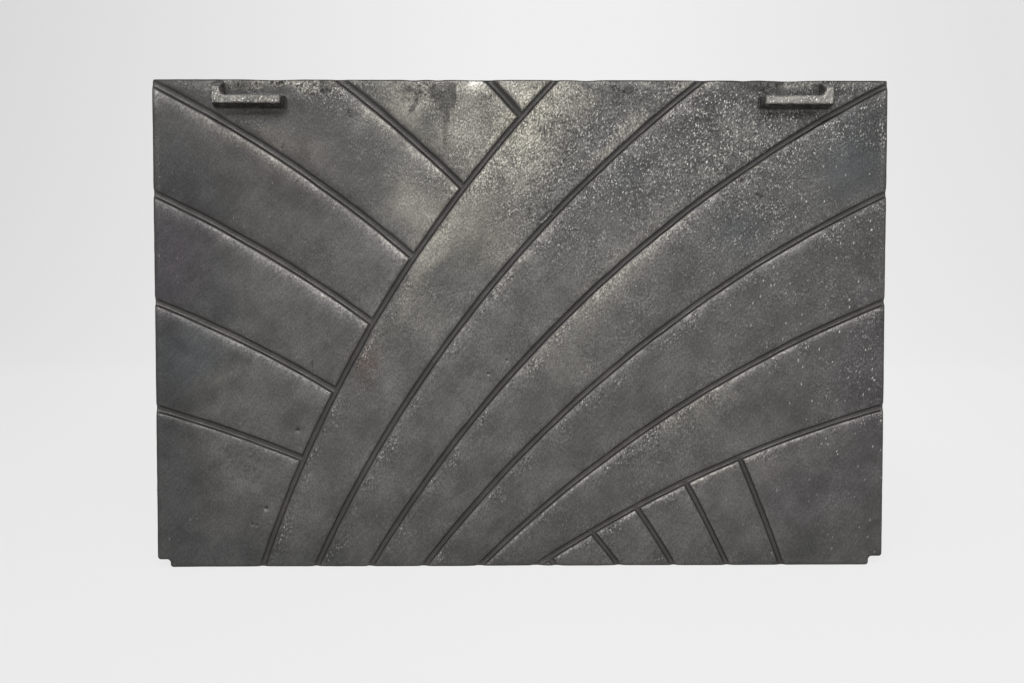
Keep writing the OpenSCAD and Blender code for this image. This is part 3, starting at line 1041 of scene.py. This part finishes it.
# The rim is rubbed bright here and there, mostly at the top
touched = np.clip(0.45 + 0.7 * value_noise(spots, 13, 46), 0, 1)
edge_wear = np.exp(-(((inside - 2.6) / 1.4) ** 2)) * touched
edge_wear *= (0.2 + 0.8 * rising**3) * np.where(rightward < 0, 0.6, 1)
rim_shine = (0.07, 0.067, 0.058)
polish += rim_shine * edge_wear[:, None]

# The back is smoked, with reddened places
smoke_brown = np.array((0.066, 0.062, 0.058))
fire_red = (0.088, 0.060, 0.046)
clouds = 1 + 0.3 * value_noise(spots, 55, 47) + 0.15 * value_noise(spots, 17, 48)
smoked = smoke_brown * clouds[:, None]
reddened = np.clip(value_noise(spots, 38, 49) * 1.4 + 0.1, 0, 0.6) * (1 - 0.5 * rising)
reddened = reddened[:, None]
smoked = smoked * (1 - reddened) + fire_red * reddened
polish = polish * (1 - behind[:, None]) + smoked * behind[:, None]
set_mask(plate, "polish", np.clip(polish, 0.02, 1))

# How strongly the sand's grain shows
grain = 0.12 + 0.7 * patch(130, 270, 80, 46, 15) + 0.5 * patch(10, 262, 50, 50, 50)
grain += 0.14 * rising * (1.3 + rightward) + 0.12 * value_noise(spots, 24, 43) + 0.55 * bared
grain += 0.3 * edge_wear + 0.8 * patch(-148, 298, 45, 5) + 0.35 * patch(-40, 294, 40, 8)
grain += 0.5 * patch(-117, 295, 16, 6)
grain += 0.4 * patch(165, 297, 50, 5)
grain -= 0.18 * patch(-200, 100, 90, 160) + 0.4 * patch(196, 246, 26, 22)
grain = grain * (1 - behind) + (0.36 + 0.2 * value_noise(spots, 33, 50)) * behind
grain *= 1 - soot_and_shade
set_mask(plate, "grain", np.clip(grain, 0.05, 1))

# Stains, craters, and painted glints on single grains, mostly towards the right and the top
stained = sum(strength * patch(*place) for *place, strength in stains)
set_mask(plate, "stained", np.clip(stained, 0, 1) * (1 - behind))
pitted = sum(strength * patch(*place) for *place, strength in cratered)
pitted = pitted * (1 - behind) + np.clip(0.6 * value_noise(spots, 29, 56), 0, 0.5) * behind
set_mask(plate, "pitted", np.clip(pitted * (1 - soot_and_shade), 0, 1))
sparkle = 0.9 * np.clip(rightward * 1.7 - 0.6, 0, 1) * np.clip(0.3 + rising, 0, 1)
sparkle += 0.25 * value_noise(spots, 22, 44)
sparkle *= 1 - 0.5 * patch(198, 246, 26, 22)
sparkle += 0.45 * bared * (1 - 0.6 * rising)
sparkle += 0.5 * patch(-70, 297.5, 70, 3.5) + 0.4 * patch(150, 297.5, 60, 3)
set_mask(plate, "sparkle", np.clip(sparkle * (1 - soot_and_shade), 0, 0.9))

# Painted shade round the lugs, darkest in the corner of each seat, and along the rim
for root, outer in zip(lug_roots, (-1, 1)):
    low, high = root.min(axis=0), root.max(axis=0)
    middle = (low + high) / 2
    from_stop = (high[0] - low[0]) / 2 - (spots[:, 0] - middle[0]) * outer
    pocket = 0.3 if outer < 0 else 0.45
    above = 0.45 + pocket * np.exp(-((from_stop - 7) / 2) ** 2)
    shaded = np.where(spots[:, 1] < seat_z - 1, 0.5, above)
    away = np.maximum(np.abs(spots - middle) - (high - low) / 2 + 0.8, 0)
    away[:, 0] /= np.where(from_stop < 10, 3.6, 1.8)
    away[:, 1] /= 0.7
    shaded = shaded * (1 - behind) * (1 + 0.25 * value_noise(spots, 3, 45))
    soot_and_shade = np.maximum(soot_and_shade, shaded * np.exp(-(away**2).sum(axis=1)))
# painted shade along the rounded rim, darker at the left side
dark_rim = np.clip(1 - inside / 1.5, 0, 1) * (1 - behind)
soot_and_shade = np.maximum(soot_and_shade, np.where(spots[:, 0] < -half_width + 4, 0.9, 0.6) * dark_rim)
set_mask(plate, "soot_and_shade", np.clip(soot_and_shade, 0, 1))
plate.data.materials.append(plate_finish())


# ---------------------------------------------------------------------------------------------
# The two ledge lugs, cast on to the face: a level seat, an end stop on the outer side, drafted
# sides and edges rounded by the sand. Baffle plates have rubbed them brighter than the plate.
# Their undersides, inner ends, outer sides and the corner beside each stop get painted shade, their
# upward faces a painted highlight, and their grains painted glints.
remesh_grid = 0.00045  # metres
soften_passes = 36
full_black = (0.028, 0.027, 0.025)
thin_black = (0.085, 0.082, 0.076)
worn_iron = (0.38, 0.365, 0.33)
painted_glint_iron = (0.93, 0.91, 0.84)
lug_shade_black = (0.016, 0.0155, 0.015)


def soft_copy(node, name):
    """The ledge's solid, remeshed on a fine grid and softened."""
    piece = bpy.data.objects.new(name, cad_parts[node].data.copy())
    bpy.context.scene.collection.objects.link(piece)
    remesh = piece.modifiers.new("remesh", "REMESH")
    remesh.mode = "VOXEL"
    remesh.voxel_size = remesh_grid
    soften = piece.modifiers.new("soften", "SMOOTH")
    soften.factor = 0.5
    soften.iterations = soften_passes
    graph = bpy.context.evaluated_depsgraph_get()
    shaped = bpy.data.meshes.new_from_object(piece.evaluated_get(graph))
    piece.modifiers.clear()
    piece.data = shaped
    shaped.name = name
    shaped.materials.clear()
    return piece


def read_points(mesh, what):
    """The places or directions of a mesh's points."""
    values = np.zeros(len(mesh.vertices) * 3, np.float32)
    mesh.vertices.foreach_get(what, values)
    return values.reshape(-1, 3)


def roughen(mesh):
    """Give a lug its sand-cast surface; returns its points in millimetres and their directions."""
    spot = read_points(mesh, "co") * 1000
    normal = read_points(mesh, "normal")
    rough = 0.22 * value_noise(spot, 4.5, 51) + 0.14 * value_noise(spot, 1.9, 52)
    rough += 0.07 * value_noise(spot, 1.0, 53)
    spot += normal * rough[:, None]
    mesh.vertices.foreach_set("co", (spot / 1000).ravel())
    mesh.update()
    mesh.shade_smooth()
    return spot, normal


def lug_painted_shade(spot, inward, up, forward, from_end, side_share, top_share):
    """Painted shade below, on the inner end and the stop, outside, on the stop's top, and next
    to the plate.
    """
    below = np.interp(-up, (0.15, 0.6), (0, 1))
    stop = np.interp(spot[:, 2], (seat_z + 2, seat_z + 5), (0.35, 0.85))
    inner = np.interp(inward, (0.3, 0.8), (0, 1)) * np.where(from_end < 3, 0.8, stop)
    outer = np.interp(-inward, (0.25, 0.85), (0, side_share))
    sloping_top = np.clip((spot[:, 2] - seat_z - 3) / 2, 0, 1) * np.clip(up * 1.6, 0, 1)
    lit = np.clip(np.maximum(forward, up) * 1.6, 0, 1)
    at_plate = np.interp(spot[:, 1], (-10, -4.5), (0, 0.85)) * (1 - lit)
    soot_and_shade = np.maximum.reduce((below, inner, outer, top_share * sloping_top, at_plate))
    return soot_and_shade * np.clip(0.9 + 0.2 * value_noise(spot, 2.5, 54), 0, 1)


def lug_casting(node, name, side_share, top_share, rubbed):
    """A cast-looking copy of a ledge with its painted shade and its rubbed places, which are
    lighter on upward faces as a painted highlight.
    """
    piece = soft_copy(node, name)
    spot, normal = roughen(piece.data)
    left = name.startswith("left")
    inward = normal[:, 0] if left else -normal[:, 0]
    from_end = spot[:, 0].max() - spot[:, 0] if left else spot[:, 0] - spot[:, 0].min()
    up = normal[:, 2]
    soot_and_shade = lug_painted_shade(spot, inward, up, -normal[:, 1], from_end, side_share, top_share)
    set_mask(piece, "soot_and_shade", soot_and_shade)
    # rubbed places, with upward faces made lighter as a painted highlight
    rub = rubbed + 0.3 * value_noise(spot, 6, 55) + 0.5 * np.clip(up, 0, 0.6)
    set_mask(piece, "rub", np.clip(rub, 0, 1))
    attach(piece, "root")
    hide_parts(node)
    return piece


def lug_finish():
    """Iron that the baffle plate has rubbed: worn high spots over black hollows, painted glints,
    and painted shade.
    """
    iron = Finish("lug_iron_rubbed_and_shaded")
    drawn = iron.stretched(1.7, 24, iron.ragged(1.2, 0.9))
    fine = iron.remap(iron.noise(1.7, detail=4, rough=0.7, place=drawn), 0.38, 0.60)
    broad = iron.remap(iron.noise(5), 0.38, 0.56, 0.35, 1)
    worn = iron.larger(iron.times(fine, broad), iron.times(iron.mask("rub"), 0.5))
    hollow = iron.blend(iron.mask("rub"), full_black, thin_black)
    color = iron.blend(worn, hollow, worn_iron)
    from_glint, pick = iron.grains(1.3, drawn)
    shine = iron.times(iron.remap(from_glint, 0.1, 0.46, 1, 0), iron.remap(pick, 0.42, 0.66))
    color = iron.blend(iron.times(shine, 0.95), color, painted_glint_iron)
    color = iron.blend(iron.mask("soot_and_shade"), color, lug_shade_black)
    rough = iron.remap(iron.noise(2), 0.3, 0.7, 0.38, 0.55)
    return iron.close_iron(color, rough, iron.plus(worn, shine), 0.8)


# Node, name, painted shade on the outer side, painted shade on the stop's top, and how far it is rubbed
lugs = (
    ("left_ledge_lug", "left_lug_casting", 0.3, 0.6, 0.42),
    ("right_ledge_lug", "right_lug_casting", 0.65, 0.45, 0.85),
)
lug_iron_and_shade = lug_finish()
for lug in lugs:
    lug_casting(*lug).data.materials.append(lug_iron_and_shade)


# ---------------------------------------------------------------------------------------------
# The studio: a bowl painted white, in which the plate stands. Its floor bends up into its wall, so
# that no edge of the floor shows behind the plate.
floor_radius = 2.2  # metres, as the next two
wall_bend = 1.8
bowl_size = 4.0
bowl_turns = 96
side_grays = ((0.0, 0.78), (0.35, 0.93), (0.5, 0.98), (0.65, 0.98), (1.0, 0.86))  # from left to right


def bowl_mesh():
    """A flat floor that bends up into a round wall, in metres."""
    profile = [(r, 0.0) for r in (0.0, 0.3, 0.8, 1.5, floor_radius)]
    for a in np.linspace(0.1, math.pi / 2, 14):
        profile.append((floor_radius + wall_bend * math.sin(a), wall_bend - wall_bend * math.cos(a)))
    profile.append((bowl_size, bowl_size))
    turns = np.arange(bowl_turns) * 2 * math.pi / bowl_turns
    points = [(0.0, 0.0, 0.0)]
    for r, z in profile[1:]:
        points += [(r * math.cos(a), r * math.sin(a), z) for a in turns]
    faces = [(0, 1 + k, 1 + (k + 1) % bowl_turns) for k in range(bowl_turns)]
    for first in range(1, 1 + (len(profile) - 2) * bowl_turns, bowl_turns):
        for k in range(bowl_turns):
            ahead = (k + 1) % bowl_turns
            outer = first + bowl_turns
            faces.append((first + k, outer + k, outer + ahead, first + ahead))
    mesh = bpy.data.meshes.new("studio_bowl")
    mesh.from_pydata(points, [], faces)
    mesh.shade_smooth()
    return mesh


def bowl_paint():
    """White paint that is seen bright and even, a little darker towards its sides and in front."""
    white = Finish("studio_white")
    rays = add_node(white.tree, "ShaderNodeLightPath").outputs
    through = white.larger(rays["Is Glossy Ray"], rays["Is Transmission Ray"])
    seen = white.times(white.larger(rays["Is Camera Ray"], through), 0.85)
    spread = add_node(white.tree, "ShaderNodeSeparateXYZ")
    white.feed(white.place, spread, 0)
    # painted shade on the backdrop: its glow is darker towards its sides and in front
    shade = add_node(white.tree, "ShaderNodeValToRGB")
    white.feed(white.remap(spread.outputs["X"], -1.5, 1.5, kind="LINEAR"), shade, "Fac")
    stops = shade.color_ramp.elements
    for number, (place, gray) in enumerate(side_grays):
        stop = stops[number] if number < 2 else stops.new(place)
        stop.position, stop.color = place, (gray, gray, gray, 1)
    glow = add_node(white.tree, "ShaderNodeEmission")
    white.feed(shade.outputs["Color"], glow, "Color")
    white.feed(white.remap(spread.outputs["Y"], -0.4, 1.6, 0.92, 1.0, kind="LINEAR"), glow, "Strength")
    paint = add_node(white.tree, "ShaderNodeBsdfDiffuse", Color=(0.78, 0.78, 0.78, 1))
    mix = add_node(white.tree, "ShaderNodeMixShader")
    for socket, value in enumerate((seen, paint.outputs[0], glow.outputs[0])):
        white.feed(value, mix, socket)
    output = add_node(white.tree, "ShaderNodeOutputMaterial")
    white.feed(mix.outputs[0], output, "Surface")
    return white.material


bowl = bpy.data.objects.new("studio_bowl", bowl_mesh())
bpy.context.scene.collection.objects.link(bowl)
bowl.data.materials.append(bowl_paint())


# ---------------------------------------------------------------------------------------------
# The light: one large soft lamp high in front of the plate and two weaker ones at its sides. An
# even sky fills the shadows.
def soft_lamp(name, place, target, size, power):
    """A rectangular lamp that points at a target and isn't seen itself."""
    light = bpy.data.lights.new(name, "AREA")
    light.shape = "RECTANGLE"
    light.size, light.size_y = size
    light.energy = power
    lamp = bpy.data.objects.new(name, light)
    lamp.location = place
    lamp.rotation_euler = (Vector(target) - Vector(place)).to_track_quat("-Z", "Y").to_euler()
    lamp.visible_camera = False
    bpy.context.scene.collection.objects.link(lamp)


soft_lamp("top_lamp", (-0.1, -1.35, 0.92), (0, 0, 0.15), (1.0, 0.5), 15)
soft_lamp("left_lamp", (-1.3, -1.1, 0.5), (0, 0, 0.15), (0.7, 0.9), 2.5)
soft_lamp("right_lamp", (1.3, -1.1, 0.5), (0, 0, 0.15), (0.7, 0.9), 2.5)
world = bpy.data.worlds.new("even_sky")
world.use_nodes = True
world.node_tree.nodes["Background"].inputs["Color"].default_value = (1, 1, 1, 1)
world.node_tree.nodes["Background"].inputs["Strength"].default_value = 0.28
bpy.context.scene.world = world


# ---------------------------------------------------------------------------------------------
# The camera: a 50 mm lens in front of the plate, a little above its middle and turned down and
# aside by a few degrees.
camera_data = bpy.data.cameras.new("camera")
camera_data.lens = 50
camera_data.sensor_width = 36
camera = bpy.data.objects.new("camera", camera_data)
camera.location = (-0.0204, -0.8790, 0.1842)
camera.rotation_euler = (math.radians(90 - 2.902), 0, math.radians(-0.958))
bpy.context.scene.collection.objects.link(camera)
bpy.context.scene.camera = camera
bpy.context.scene.view_settings.view_transform = "Standard"
